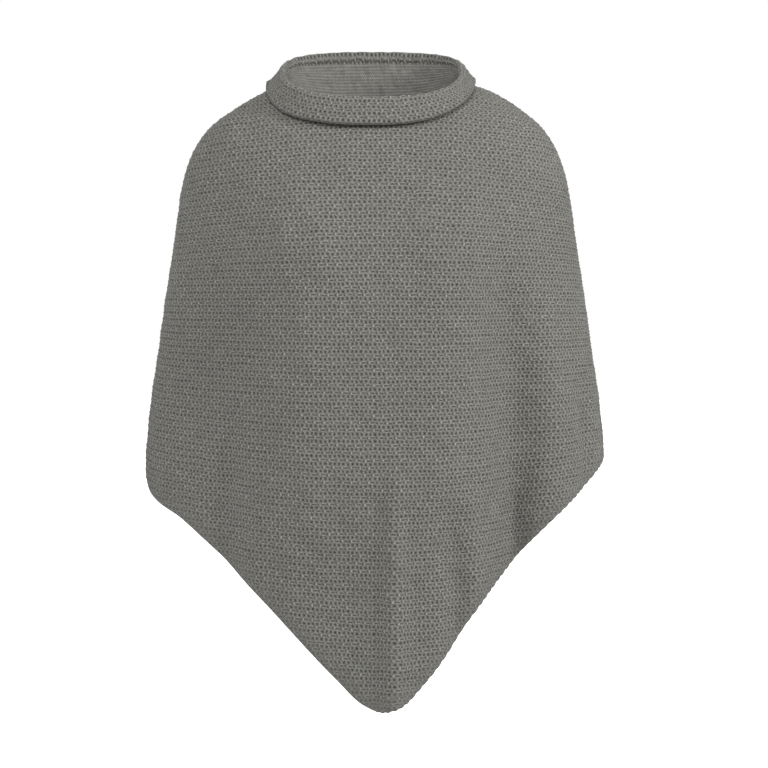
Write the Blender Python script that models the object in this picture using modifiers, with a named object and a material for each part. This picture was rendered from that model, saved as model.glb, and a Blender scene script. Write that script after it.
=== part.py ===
"""A knitted poncho sweater, as worn with no wearer: a front panel, a back panel and a roll collar.

Metres, +Z up, the front faces -Y. The origin is the middle of the neck opening, level with the
shoulders. Each panel is a loft: a curve at each height runs from one side seam to the other, and the
panel is the part of it between the neckline and the pointed hem.
"""

import bpy
import numpy as np

# ---------------------------------------------------------------- driving sizes
WALL = 0.003  # thickness of the knit
SEAM_GAP = 0.0003  # between two pieces that are sewn to each other
NECK_GAP = 0.0007  # round the neck, where both pieces have short straight sides

# The figure that the cloth hangs on, as outside sizes of the cloth at each height.
FIGURE_COLUMNS = ("height", "half_width", "front", "chest", "back", "front_power", "back_power", "middle")
FIGURE = (
    (-0.800, 0.2760, 0.100, 0.026, 0.102, 3.0, 2.8, 0.0000),
    (-0.620, 0.2760, 0.104, 0.030, 0.106, 3.0, 2.8, 0.0000),
    (-0.500, 0.2760, 0.106, 0.040, 0.110, 3.0, 2.8, 0.0000),
    (-0.433, 0.2745, 0.107, 0.048, 0.112, 3.0, 2.8, 0.0000),
    (-0.361, 0.2680, 0.107, 0.049, 0.115, 3.0, 2.8, 0.0000),
    (-0.303, 0.2590, 0.107, 0.050, 0.119, 3.0, 2.8, 0.0000),
    (-0.245, 0.2510, 0.107, 0.050, 0.123, 3.0, 2.8, 0.0000),
    (-0.188, 0.2420, 0.107, 0.044, 0.126, 2.9, 2.7, 0.0000),
    (-0.131, 0.2340, 0.106, 0.030, 0.1270, 2.7, 2.6, 0.0000),
    (-0.102, 0.2290, 0.105, 0.021, 0.1240, 2.6, 2.5, 0.0000),
    (-0.073, 0.2200, 0.101, 0.012, 0.1160, 2.4, 2.4, 0.0000),
    (-0.059, 0.2130, 0.098, 0.008, 0.1105, 2.3, 2.3, 0.0005),
    (-0.044, 0.2030, 0.0935, 0.004, 0.1035, 2.2, 2.2, 0.0010),
    (-0.033, 0.1925, 0.0885, 0.001, 0.0970, 2.1, 2.1, 0.0015),
    (-0.022, 0.1780, 0.0805, 0.000, 0.0885, 2.0, 2.0, 0.0025),
    (-0.010, 0.1605, 0.0665, 0.000, 0.0785, 2.0, 2.0, 0.0035),
    (0.000, 0.1430, 0.0485, 0.000, 0.0700, 2.0, 2.0, 0.0040),
    (0.006, 0.1300, 0.0350, 0.000, 0.0640, 2.0, 2.0, 0.0035),
    (0.010, 0.1180, 0.0270, 0.000, 0.0600, 2.0, 2.0, 0.0020),
    (0.0135, 0.1075, 0.0200, 0.000, 0.0560, 2.0, 2.0, 0.0000),
    (0.020, 0.1045, 0.0120, 0.000, 0.0500, 2.0, 2.0, -0.0020),
    (0.027, 0.0960, 0.0060, 0.000, 0.0430, 2.0, 2.0, -0.0030),
    (0.040, 0.0500, 0.0040, 0.000, 0.0200, 2.0, 2.0, -0.0030),
)
CHEST_FLAT = 0.055  # half width of the flat middle of the chest
CHEST_EDGE = 0.225  # where the chest's fullness has gone

# Folds: troughs are positive depths, ridges negative. x runs from its top place to its low place.
FOLD_COLUMNS = ("x_top", "x_low", "z_top", "z_low", "half_width", "depth")
FRONT_FOLDS = (
    (0.132, 0.154, -0.080, -0.350, 0.025, 0.018),
    (0.163, 0.166, -0.400, -0.490, 0.011, 0.005),
    (0.196, 0.207, -0.150, -0.390, 0.020, -0.012),
    (0.240, 0.246, -0.300, -0.400, 0.008, 0.005),
    (0.025, 0.023, -0.380, -0.560, 0.011, -0.010),
    (0.030, 0.024, -0.400, -0.620, 0.044, -0.012),
    (0.089, 0.092, -0.450, -0.540, 0.012, 0.006),
    (0.116, 0.118, -0.450, -0.540, 0.011, -0.005),
    (-0.166, -0.170, -0.340, -0.500, 0.016, 0.012),
    (-0.088, -0.088, -0.080, -0.150, 0.045, -0.010),
    (-0.088, -0.088, -0.160, -0.240, 0.045, 0.010),
    (0.098, 0.098, -0.080, -0.155, 0.048, -0.012),
    (0.098, 0.098, -0.165, -0.250, 0.048, 0.012),
)
BACK_FOLDS = (
    (-0.120, -0.140, -0.220, -0.600, 0.028, 0.016),
    (-0.180, -0.205, -0.280, -0.540, 0.022, -0.006),
    (0.004, -0.006, -0.380, -0.740, 0.016, 0.008),
    (0.100, 0.128, -0.260, -0.620, 0.024, 0.013),
    (0.060, 0.066, -0.440, -0.680, 0.020, -0.005),
    (0.190, 0.212, -0.320, -0.520, 0.018, 0.007),
)

# The hems in front view: each falls from a side corner to a rounded point left of the middle or on it.
HEM_COLUMNS = ("x", "front_z", "back_z")
HEM = (
    (-0.2750, -0.4300, -0.4300),
    (-0.2735, -0.4480, -0.4480),
    (-0.2640, -0.4720, -0.4720),
    (-0.2268, -0.4980, -0.4970),
    (-0.1342, -0.5865, -0.5810),
    (-0.0452, -0.6806, -0.6740),
    (-0.0120, -0.7110, -0.7020),
    (0.0080, -0.7180, -0.7070),
    (0.0290, -0.7120, -0.6970),
    (0.0620, -0.6800, -0.6600),
    (0.1274, -0.5878, -0.5830),
    (0.2055, -0.4997, -0.4990),
    (0.2488, -0.4585, -0.4585),
    (0.2750, -0.4290, -0.4290),
)

# The roll collar: one tube, up the stand, over the fold and down the fall. A share is how far the
# ring has gone from the neckline up to the fold, or from the fold down to the free edge.
COLLAR_COLUMNS = ("layer", "half_width", "front", "back", "share")
COLLAR = (
    ("stand", 0.1035, 0.0850, 0.0750, 0.00),
    ("stand", 0.1030, 0.0862, 0.0764, 0.30),
    ("stand", 0.1030, 0.0872, 0.0778, 0.60),
    ("stand", 0.1038, 0.0886, 0.0796, 0.88),
    ("stand", 0.1064, 0.0914, 0.0824, 1.00),
    ("fall", 0.1092, 0.0944, 0.0854, 0.09),
    ("fall", 0.1118, 0.0964, 0.0876, 0.28),
    ("fall", 0.1162, 0.0986, 0.0904, 0.52),
    ("fall", 0.1212, 0.0994, 0.0932, 0.76),
    ("fall", 0.1262, 0.0978, 0.0960, 1.00),
)
LINE_COLUMNS = ("right_z", "left_z", "front_z", "back_z")
FOLD_LINE = (0.0315, 0.0305, -0.0025, 0.0548)
FREE_EDGE = (0.0168, 0.0120, -0.0338, 0.0130)
BACK_FALL = 0.021  # how much lower the free edge hangs at the very back
LEFT_SAG = 0.0040  # how much lower the free edge lies where it rests on the front of the left shoulder
LEFT_SAG_TURN = np.radians(215)
LEFT_SAG_SPREAD = np.radians(28)
RIGHT_TUCK = 0.0050  # how much nearer to the neck the free edge lies on the right shoulder
COLLAR_MIDDLE_X = -0.003
COLLAR_POWER = 2.55  # how square the collar is in plan: 2 is an ellipse
BODY_CENTRE_Y = 0.0  # the side and shoulder seams lie in this plane

# Mesh density
FRONT_GRID = (44, 22)  # columns, rows
BACK_GRID = (36, 18)
COLLAR_SIDES = 52
DENSE = 361  # points on a curve before it is spaced out evenly

KNIT_COLOUR = (0.190, 0.186, 0.168, 1.0)
KNIT_ROUGHNESS = 0.95


# ---------------------------------------------------------------- curves
def column(table, names, name):
    return np.array([row[names.index(name)] for row in table])


def through(knots, values, at):
    """A smooth curve through the values: cubic between knots, level at a turning point."""
    step = np.diff(knots)
    slope = np.diff(values) / step
    same = slope[:-1] * slope[1:] > 0
    total = np.where(same, slope[:-1] + slope[1:], 1.0)
    inner = np.where(same, 2 * slope[:-1] * slope[1:] / total, 0.0)
    tangent = np.concatenate([slope[:1], inner, slope[-1:]])
    at = np.clip(at, knots[0], knots[-1])
    i = np.clip(np.searchsorted(knots, at) - 1, 0, len(step) - 1)
    t = (at - knots[i]) / step[i]
    rise = values[i] * (1 + 2 * t) * (1 - t) ** 2 + values[i + 1] * t**2 * (3 - 2 * t)
    lean = tangent[i] * t * (1 - t) ** 2 - tangent[i + 1] * t**2 * (1 - t)
    return rise + lean * step[i]


def figure(name, z):
    """One of the figure's sizes at the heights z."""
    heights = column(FIGURE, FIGURE_COLUMNS, "height")
    return through(heights, column(FIGURE, FIGURE_COLUMNS, name), z)


def ease(t):
    t = np.clip(t, 0.0, 1.0)
    return t * t * (3 - 2 * t)


# ---------------------------------------------------------------- the body's surface
def fold_depth(folds, x, z):
    """How far the folds push the cloth in, at x and z. Each grows from its top to its low end."""
    depth = np.zeros(np.broadcast(x, z).shape)
    for fold in folds:
        size = dict(zip(FOLD_COLUMNS, fold))
        share = (z - size["z_top"]) / (size["z_low"] - size["z_top"])
        middle = size["x_top"] + (size["x_low"] - size["x_top"]) * np.clip(share, 0, 1.2)
        spread = size["half_width"] * (0.8 + 0.4 * np.clip(share, 0, 1))
        depth += size["depth"] * ease(share) * np.exp(-(((x - middle) / spread) ** 2))
    return depth


def section(side, angle, z):
    """Inner surface of the cloth at a height: a super-ellipse from the right seam (angle 0) over the
    middle to the left seam (angle pi), with the chest's fullness in front, pushed in by the folds."""
    front = side == "front"
    power = figure("front_power" if front else "back_power", z)
    wide = figure("half_width", z) - WALL
    deep = figure("front" if front else "back", z) - WALL
    c, s = np.cos(angle), np.abs(np.sin(angle))
    across, deep_share = np.sign(c) * np.abs(c) ** (2 / power), s ** (2 / power)
    x, y = wide * across, deep * deep_share
    if front:
        y = y + chest_fullness(x, z)
    normal_x = np.sign(across) * np.abs(across) ** (power - 1) / wide
    normal_y = deep_share ** (power - 1) / deep
    push = fold_depth(FRONT_FOLDS if front else BACK_FOLDS, x, z) / np.hypot(normal_x, normal_y)
    x = figure("middle", z) + x - push * normal_x
    y = y - push * normal_y
    outward = -1 if front else 1
    return np.stack([x, BODY_CENTRE_Y + outward * (y + SEAM_GAP / 2), z], axis=-1)


def chest_fullness(x, z):
    fade = 1 - ease((np.abs(x) - CHEST_FLAT) / (CHEST_EDGE - CHEST_FLAT))
    return figure("chest", z) * fade


def collar_plan(size, turn, clear=0.0):
    """A collar ring's x and y at the angles turn, both from its middle, widened by clear."""
    deep = np.where(np.sin(turn) > 0, size["back"], size["front"]) + clear
    c, s = np.cos(turn), np.sin(turn)
    x = (size["half_width"] + clear) * np.sign(c) * np.abs(c) ** (2 / COLLAR_POWER)
    return x, deep * np.sign(s) * np.abs(s) ** (2 / COLLAR_POWER)


def neckline(side, turn, clear):
    """Where an oval round the collar's stand meets the body's surface: the surface's own angle and
    the height, found by halving a range of heights. clear is how far outside the stand it lies."""
    front = side == "front"
    x, y = collar_plan(dict(zip(COLLAR_COLUMNS, COLLAR[0])), -turn if front else turn, clear)
    x, y = x + COLLAR_MIDDLE_X, np.abs(y)
    low, high = np.full(x.shape, -0.12), np.full(x.shape, 0.04)
    for _ in range(40):
        z = (low + high) / 2
        power = figure("front_power" if front else "back_power", z)
        wide = figure("half_width", z) - WALL
        deep = figure(side, z) - WALL
        across = (x - figure("middle", z)) / wide
        deep_share = np.maximum(y - (chest_fullness(x, z) if front else 0.0), 0) / deep
        inside = np.abs(across) ** power + deep_share**power < 1
        low, high = np.where(inside, z, low), np.where(inside, high, z)
    angle = np.arctan2(deep_share ** (power / 2), np.sign(across) * np.abs(across) ** (power / 2))
    return angle, z


def hemline(side, angle):
    """The hem's height at each angle, found by trying the height, then its width, over and over."""
    across, heights = column(HEM, HEM_COLUMNS, "x"), column(HEM, HEM_COLUMNS, side + "_z")
    z = np.full(angle.shape, -0.5)
    for _ in range(40):
        z = (z + through(across, heights, section(side, angle, z)[..., 0])) / 2
    return z


def evenly(points, count):
    """Each row of points again, as count points spaced evenly along it."""
    step = np.linalg.norm(np.diff(points, axis=1), axis=2)
    along = np.concatenate([np.zeros((len(points), 1)), np.cumsum(step, axis=1)], axis=1)
    spaced = []
    for line, run in zip(points, along):
        at = np.linspace(0, run[-1], count)
        spaced.append(np.stack([np.interp(at, run, line[:, k]) for k in range(3)], axis=1))
    return np.array(spaced)


# ---------------------------------------------------------------- meshes
def grid_mesh(name, points, outside, closed=False):
    """A mesh over rows of points. outside turns the faces to point away from the body."""
    rows, columns = points.shape[:2]
    index = np.arange(rows * columns).reshape(rows, columns)
    if closed:
        index = np.concatenate([index, index[:, :1]], axis=1)
    quads = np.stack([index[:-1, :-1], index[:-1, 1:], index[1:, 1:], index[1:, :-1]], axis=-1)
    quads = quads.reshape(-1, 4)
    if not outside:
        quads = quads[:, ::-1]
    mesh = bpy.data.meshes.new(name)
    mesh.from_pydata(points.reshape(-1, 3).tolist(), [], quads.tolist())
    mesh.shade_smooth()
    return mesh


def knit_material():
    material = bpy.data.materials.new("grey_knit")
    material.use_nodes = True
    shader = material.node_tree.nodes["Principled BSDF"]
    shader.inputs["Base Color"].default_value = KNIT_COLOUR
    shader.inputs["Roughness"].default_value = KNIT_ROUGHNESS
    shader.inputs["Metallic"].default_value = 0.0
    return material


def wall(name, mesh, material, collection, offset):
    """Turns an open surface into cloth with a thickness."""
    mesh.materials.append(material)
    piece = bpy.data.objects.new(name, mesh)
    collection.objects.link(piece)
    thick = piece.modifiers.new("cloth", "SOLIDIFY")
    thick.thickness = WALL
    thick.offset = offset
    thick.use_even_offset = True
    thick.use_rim = True
    return piece


def panel(name, side, grid, material, collection):
    """A front or back panel: rings fan out from the neckline to the hem between the side seams."""
    columns, rows = grid
    angle = np.linspace(0, np.pi, DENSE)
    angle = angle - 0.45 * np.sin(2 * angle)
    neck_angle, neck_z = neckline(side, np.linspace(0, np.pi, DENSE), WALL / 2 + NECK_GAP)
    top = np.interp(angle, neck_angle, neck_z)
    low = hemline(side, angle)
    share = np.linspace(0, 1, rows + 1)[:, None] ** 1.25
    z = top * (1 - share) + low * share
    points = evenly(section(side, np.broadcast_to(angle, z.shape), z), columns + 1)
    mesh = grid_mesh(name, points, outside=side == "front")
    return wall(name, mesh, material, collection, offset=1.0)


def collar_line(line, turn):
    """A height round the neck from its side, front and back values, at the angles turn: level with
    the share of the collar's depth that the ring has reached, -1 at the very front, 1 at the back."""
    size = dict(zip(LINE_COLUMNS, line))
    one = {"half_width": 1.0, "front": 1.0, "back": 1.0}
    rightward, across = collar_plan(one, turn)
    side_z = size["left_z"] + (size["right_z"] - size["left_z"]) * (1 + rightward) / 2
    lift = (size["back_z"] - size["front_z"]) / 2
    bow = (size["back_z"] + size["front_z"]) / 2 - side_z
    return side_z + lift * across + bow * across**2


def collar(name, material, collection):
    """The folded tube of the collar, ring after ring from its seam to its free edge."""
    turn = np.linspace(0, 2 * np.pi, COLLAR_SIDES, endpoint=False)
    seam = np.where(turn < np.pi, neckline("back", turn, 0.0)[1], neckline("front", -turn, 0.0)[1])
    fold = collar_line(FOLD_LINE, turn)
    sag = LEFT_SAG * np.exp(-(((turn - LEFT_SAG_TURN) / LEFT_SAG_SPREAD) ** 2))
    one = {"half_width": 1.0, "front": 1.0, "back": 1.0}
    rightward, behind = (np.maximum(part, 0) for part in collar_plan(one, turn))
    edge = collar_line(FREE_EDGE, turn) - sag - BACK_FALL * behind**2
    rings = []
    for row in COLLAR:
        size = dict(zip(COLLAR_COLUMNS, row))
        share = size["share"]
        z = seam + share * (fold - seam) if size["layer"] == "stand" else fold + share * (edge - fold)
        x, y = collar_plan(size, turn)
        if size["layer"] == "fall":
            x = x - RIGHT_TUCK * share**2 * rightward
        rings.append(np.stack([COLLAR_MIDDLE_X + x, y, z], axis=-1))
    mesh = grid_mesh(name, np.array(rings), outside=True, closed=True)
    return wall(name, mesh, material, collection, offset=0.0)


def main():
    for obj in list(bpy.data.objects):
        bpy.data.objects.remove(obj)
    garment = bpy.data.collections.new("knitted_poncho")
    bpy.context.scene.collection.children.link(garment)
    knit = knit_material()
    panel("front_panel", "front", FRONT_GRID, knit, garment)
    panel("back_panel", "back", BACK_GRID, knit, garment)
    collar("roll_collar", knit, garment)


main()
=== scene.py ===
"""A knitted poncho sweater, worn hollow: two panels of tuck-stitch knit and a turned-down roll collar.

The frame gives each piece its place. Every panel is worked out on its own stitches: a lattice of
stitches and rows in the flat cut is laid on the worn surface, so the knit follows the drape.
"""

import bpy
import numpy as np
from bpy.props import FloatProperty, FloatVectorProperty, PointerProperty
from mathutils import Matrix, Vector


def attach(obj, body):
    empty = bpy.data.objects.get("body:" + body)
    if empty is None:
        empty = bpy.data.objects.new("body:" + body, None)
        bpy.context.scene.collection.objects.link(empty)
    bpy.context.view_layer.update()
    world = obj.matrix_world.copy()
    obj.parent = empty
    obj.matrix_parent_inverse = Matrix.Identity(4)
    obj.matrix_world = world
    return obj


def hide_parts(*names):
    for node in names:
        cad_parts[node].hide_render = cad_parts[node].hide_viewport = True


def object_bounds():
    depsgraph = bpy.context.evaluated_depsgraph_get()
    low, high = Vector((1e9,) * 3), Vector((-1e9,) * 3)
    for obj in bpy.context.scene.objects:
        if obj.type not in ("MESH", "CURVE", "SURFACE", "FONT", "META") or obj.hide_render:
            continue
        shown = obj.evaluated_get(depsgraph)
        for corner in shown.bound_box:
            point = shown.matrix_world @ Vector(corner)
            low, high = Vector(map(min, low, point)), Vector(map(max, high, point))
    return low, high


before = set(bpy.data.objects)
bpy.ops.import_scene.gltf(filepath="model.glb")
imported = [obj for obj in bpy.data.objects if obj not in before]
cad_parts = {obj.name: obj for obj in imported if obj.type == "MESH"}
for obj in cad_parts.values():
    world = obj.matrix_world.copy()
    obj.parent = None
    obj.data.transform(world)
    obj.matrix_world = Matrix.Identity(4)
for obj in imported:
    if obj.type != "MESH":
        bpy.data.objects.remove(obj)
CAD_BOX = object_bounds()

bl_info = {
    "name": "Knitted Poncho Sweater",
    "version": (1, 0, 0),
    "blender": (4, 5, 0),
    "location": "3D View > Sidebar > Poncho",
    "description": "Builds a worn, hollow poncho in tuck-stitch knit with a roll collar",
    "category": "Add Mesh",
}

# ---------------------------------------------------------------- the worn form, in metres
WALL = 0.003  # thickness of the knit
SEAM_GAP = 0.00005  # between two pieces that are sewn to each other
NECK_GAP = 0.0007  # between the panels' neckline and the collar

# The figure that the cloth hangs on, as outside sizes of the cloth at each height.
FIGURE_COLUMNS = (
    "height", "half_width", "front", "chest", "back", "front_power", "back_power", "middle",
)
FIGURE = (
    (-0.800, 0.2760, 0.100, 0.026, 0.102, 3.0, 2.8, 0.0000),
    (-0.620, 0.2760, 0.104, 0.030, 0.106, 3.0, 2.8, 0.0000),
    (-0.500, 0.2760, 0.106, 0.040, 0.110, 3.0, 2.8, 0.0000),
    (-0.433, 0.2745, 0.107, 0.048, 0.112, 3.0, 2.8, 0.0000),
    (-0.361, 0.2680, 0.107, 0.049, 0.115, 3.0, 2.8, 0.0000),
    (-0.303, 0.2590, 0.107, 0.050, 0.119, 3.0, 2.8, 0.0000),
    (-0.245, 0.2510, 0.107, 0.050, 0.123, 3.0, 2.8, 0.0000),
    (-0.188, 0.2420, 0.107, 0.044, 0.126, 2.9, 2.7, 0.0000),
    (-0.131, 0.2340, 0.106, 0.030, 0.1270, 2.7, 2.6, 0.0000),
    (-0.102, 0.2290, 0.105, 0.021, 0.1240, 2.6, 2.5, 0.0000),
    (-0.073, 0.2200, 0.101, 0.012, 0.1160, 2.4, 2.4, 0.0000),
    (-0.059, 0.2130, 0.098, 0.008, 0.1105, 2.3, 2.3, 0.0005),
    (-0.044, 0.2030, 0.0935, 0.004, 0.1035, 2.2, 2.2, 0.0010),
    (-0.033, 0.1925, 0.0885, 0.001, 0.0970, 2.1, 2.1, 0.0015),
    (-0.022, 0.1780, 0.0805, 0.000, 0.0885, 2.0, 2.0, 0.0025),
    (-0.010, 0.1605, 0.0665, 0.000, 0.0785, 2.0, 2.0, 0.0035),
    (0.000, 0.1430, 0.0485, 0.000, 0.0700, 2.0, 2.0, 0.0040),
    (0.006, 0.1300, 0.0350, 0.000, 0.0640, 2.0, 2.0, 0.0035),
    (0.010, 0.1180, 0.0270, 0.000, 0.0600, 2.0, 2.0, 0.0020),
    (0.0135, 0.1075, 0.0200, 0.000, 0.0560, 2.0, 2.0, 0.0000),
    (0.020, 0.1045, 0.0120, 0.000, 0.0500, 2.0, 2.0, -0.0020),
    (0.027, 0.0960, 0.0060, 0.000, 0.0430, 2.0, 2.0, -0.0030),
    (0.040, 0.0500, 0.0040, 0.000, 0.0200, 2.0, 2.0, -0.0030),
)
CHEST_FLAT = 0.055  # half width of the flat middle of the chest
CHEST_EDGE = 0.225  # where the chest's fullness has gone

# Folds: troughs are positive depths, ridges negative. x runs from its top place to its low place.
FOLD_COLUMNS = ("x_top", "x_low", "z_top", "z_low", "half_width", "depth")
FRONT_FOLDS = (
    (0.132, 0.154, -0.080, -0.350, 0.025, 0.018),
    (0.163, 0.166, -0.400, -0.490, 0.011, 0.005),
    (0.196, 0.207, -0.150, -0.390, 0.020, -0.012),
    (0.240, 0.246, -0.300, -0.400, 0.008, 0.005),
    (0.025, 0.023, -0.380, -0.560, 0.011, -0.010),
    (0.030, 0.024, -0.400, -0.620, 0.044, -0.012),
    (0.089, 0.092, -0.450, -0.540, 0.012, 0.006),
    (0.116, 0.118, -0.450, -0.540, 0.011, -0.005),
    (-0.166, -0.170, -0.340, -0.500, 0.016, 0.012),
    (-0.088, -0.088, -0.080, -0.150, 0.045, -0.010),
    (-0.088, -0.088, -0.160, -0.240, 0.045, 0.010),
    (0.098, 0.098, -0.080, -0.155, 0.048, -0.012),
    (0.098, 0.098, -0.165, -0.250, 0.048, 0.012),
)
BACK_FOLDS = (
    (-0.120, -0.140, -0.220, -0.600, 0.028, 0.016),
    (-0.180, -0.205, -0.280, -0.540, 0.022, -0.006),
    (0.004, -0.006, -0.380, -0.740, 0.016, 0.008),
    (0.100, 0.128, -0.260, -0.620, 0.024, 0.013),
    (0.060, 0.066, -0.440, -0.680, 0.020, -0.005),
    (0.190, 0.212, -0.320, -0.520, 0.018, 0.007),
)

# The hems in front view, from side corner to rounded point to side corner.
HEM_COLUMNS = ("x", "front_z", "back_z")
HEM = (
    (-0.2750, -0.4300, -0.4300),
    (-0.2735, -0.4480, -0.4480),
    (-0.2640, -0.4720, -0.4720),
    (-0.2268, -0.4980, -0.4970),
    (-0.1342, -0.5865, -0.5810),
    (-0.0452, -0.6806, -0.6740),
    (-0.0120, -0.7110, -0.7020),
    (0.0080, -0.7180, -0.7070),
    (0.0290, -0.7120, -0.6970),
    (0.0620, -0.6800, -0.6600),
    (0.1274, -0.5878, -0.5830),
    (0.2055, -0.4997, -0.4990),
    (0.2488, -0.4585, -0.4585),
    (0.2750, -0.4290, -0.4290),
)

# The roll collar, ring by ring. A share is how far the ring has gone from the neckline up to the
# fold, or from the fold down to the free edge.
COLLAR_COLUMNS = ("layer", "half_width", "front", "back", "share")
COLLAR = (
    ("stand", 0.1035, 0.0850, 0.0750, 0.00),
    ("stand", 0.1030, 0.0862, 0.0764, 0.30),
    ("stand", 0.1030, 0.0872, 0.0778, 0.60),
    ("stand", 0.1038, 0.0886, 0.0796, 0.88),
    ("stand", 0.1064, 0.0914, 0.0824, 1.00),
    ("fall", 0.1092, 0.0944, 0.0854, 0.09),
    ("fall", 0.1118, 0.0964, 0.0876, 0.28),
    ("fall", 0.1162, 0.0986, 0.0904, 0.52),
    ("fall", 0.1212, 0.0994, 0.0932, 0.76),
    ("fall", 0.1262, 0.0978, 0.0960, 1.00),
)
LINE_COLUMNS = ("right_z", "left_z", "front_z", "back_z")
FOLD_LINE = (0.0315, 0.0305, -0.0025, 0.0548)
FREE_EDGE = (0.0168, 0.0120, -0.0338, 0.0130)
BACK_FALL = 0.021
LEFT_SAG = 0.0040
LEFT_SAG_TURN = np.radians(215)
LEFT_SAG_SPREAD = np.radians(28)
RIGHT_TUCK = 0.0050
COLLAR_MIDDLE_X = -0.003
COLLAR_POWER = 2.55

# ---------------------------------------------------------------- how the knit lies on it
LEVEL_Z = -0.290  # the row that runs level from seam to seam
SIDE_SHRINK = 0.85  # rows lie closer at the side seams than down the middle
SHOULDER_SPREAD = 1.10  # and further apart over the shoulders
SHOULDER_Z = -0.100
STRETCH_COLUMNS = ("height", "across")
STRETCH = ((-0.80, 1.00), (-0.24, 1.00), (-0.10, 1.12), (0.15, 1.12))  # wider stitches at the chest

HEM_SLANT = 0.72  # distance straight to the hem, as a share of the distance down to it
NECK_SLANT = 0.85
INNER_BAND = 0.30  # how far up the collar its plain inside ends, as a share of its whole height
FLOOR_Z = -1.40
FLOOR_REACH = 14.0

HALF = np.pi / 2
HAND = {"right": 1.0, "left": -1.0}


def column(table, names, name):
    return np.array([row[names.index(name)] for row in table])


def through(knots, values, at):
    """A smooth curve through the values: cubic between knots, level at a turning point."""
    step = np.diff(knots)
    slope = np.diff(values) / step
    same = slope[:-1] * slope[1:] > 0
    total = np.where(same, slope[:-1] + slope[1:], 1.0)
    inner = np.where(same, 2 * slope[:-1] * slope[1:] / total, 0.0)
    tangent = np.concatenate([slope[:1], inner, slope[-1:]])
    at = np.clip(at, knots[0], knots[-1])
    i = np.clip(np.searchsorted(knots, at) - 1, 0, len(step) - 1)
    t = (at - knots[i]) / step[i]
    rise = values[i] * (1 + 2 * t) * (1 - t) ** 2 + values[i + 1] * t**2 * (3 - 2 * t)
    lean = tangent[i] * t * (1 - t) ** 2 - tangent[i + 1] * t**2 * (1 - t)
    return rise + lean * step[i]


def figure(name, z):
    """One of the figure's sizes at the heights z."""
    heights = column(FIGURE, FIGURE_COLUMNS, "height")
    return through(heights, column(FIGURE, FIGURE_COLUMNS, name), z)


def ease(t):
    t = np.clip(t, 0.0, 1.0)
    return t * t * (3 - 2 * t)


def fold_depth(folds, x, z):
    """How far the folds push the cloth in, at x and z: each is a bell across, eased in downwards."""
    depth = np.zeros(np.broadcast(x, z).shape)
    for fold in folds:
        size = dict(zip(FOLD_COLUMNS, fold))
        share = (z - size["z_top"]) / (size["z_low"] - size["z_top"])
        middle = size["x_top"] + (size["x_low"] - size["x_top"]) * np.clip(share, 0, 1.2)
        spread = size["half_width"] * (0.8 + 0.4 * np.clip(share, 0, 1))
        depth += size["depth"] * ease(share) * np.exp(-(((x - middle) / spread) ** 2))
    return depth


def chest_fullness(x, z):
    """The chest's fullness at a height, whole in the flat middle and eased away to the sides."""
    fade = 1 - ease((np.abs(x) - CHEST_FLAT) / (CHEST_EDGE - CHEST_FLAT))
    return figure("chest", z) * fade


def section(side, angle, z):
    """Inner surface of the cloth at a height: a super-ellipse from the right seam (angle 0) over the
    middle to the left seam (angle pi), with the chest's fullness in front, pushed in by the folds."""
    front = side == "front"
    power = figure("front_power" if front else "back_power", z)
    wide = figure("half_width", z) - WALL
    deep = figure("front" if front else "back", z) - WALL
    c, s = np.cos(angle), np.abs(np.sin(angle))
    across, deep_share = np.sign(c) * np.abs(c) ** (2 / power), s ** (2 / power)
    x, y = wide * across, deep * deep_share
    if front:
        y = y + chest_fullness(x, z)
    normal_x = np.sign(across) * np.abs(across) ** (power - 1) / wide
    normal_y = deep_share ** (power - 1) / deep
    push = fold_depth(FRONT_FOLDS if front else BACK_FOLDS, x, z) / np.hypot(normal_x, normal_y)
    x = figure("middle", z) + x - push * normal_x
    y = y - push * normal_y
    outward = -1 if front else 1
    return np.stack([x, outward * (y + SEAM_GAP / 2), z], axis=-1)


def outward_normal(side, angle, z):
    """The worn surface's unit normal, from short steps round the body and up it."""
    small = 2e-4
    angle = np.clip(angle, 2 * small, np.pi - 2 * small)
    round_body = section(side, angle + small, z) - section(side, angle - small, z)
    up = section(side, angle, z + small) - section(side, angle, z - small)
    normal = np.cross(round_body, up) * (-1 if side == "front" else 1)
    return normal / np.linalg.norm(normal, axis=-1, keepdims=True)


def collar_plan(size, turn, clear=0.0):
    """A collar ring's x and y at the angles turn, a super-ellipse, both from its middle."""
    deep = np.where(np.sin(turn) > 0, size["back"], size["front"]) + clear
    c, s = np.cos(turn), np.sin(turn)
    x = (size["half_width"] + clear) * np.sign(c) * np.abs(c) ** (2 / COLLAR_POWER)
    return x, deep * np.sign(s) * np.abs(s) ** (2 / COLLAR_POWER)


def neckline(side, turn, clear):
    """Where an oval round the collar's stand meets the body's surface: the surface's own angle and
    the height, found by halving a range of heights."""
    front = side == "front"
    x, y = collar_plan(dict(zip(COLLAR_COLUMNS, COLLAR[0])), -turn if front else turn, clear)
    x, y = x + COLLAR_MIDDLE_X, np.abs(y)
    low, high = np.full(x.shape, -0.12), np.full(x.shape, 0.04)
    for _ in range(40):
        z = (low + high) / 2
        power = figure("front_power" if front else "back_power", z)
        wide = figure("half_width", z) - WALL
        deep = figure(side, z) - WALL
        across = (x - figure("middle", z)) / wide
        deep_share = np.maximum(y - (chest_fullness(x, z) if front else 0.0), 0) / deep
        inside = np.abs(across) ** power + deep_share**power < 1
        low, high = np.where(inside, z, low), np.where(inside, high, z)
    angle = np.arctan2(deep_share ** (power / 2), np.sign(across) * np.abs(across) ** (power / 2))
    return angle, z


def hemline(side, angle):
    """The hem's height at each angle, found by trying the height, then its width, over and over."""
    across, heights = column(HEM, HEM_COLUMNS, "x"), column(HEM, HEM_COLUMNS, side + "_z")
    z = np.full(angle.shape, -0.5)
    for _ in range(40):
        z = (z + through(across, heights, section(side, angle, z)[..., 0])) / 2
    return z


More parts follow.
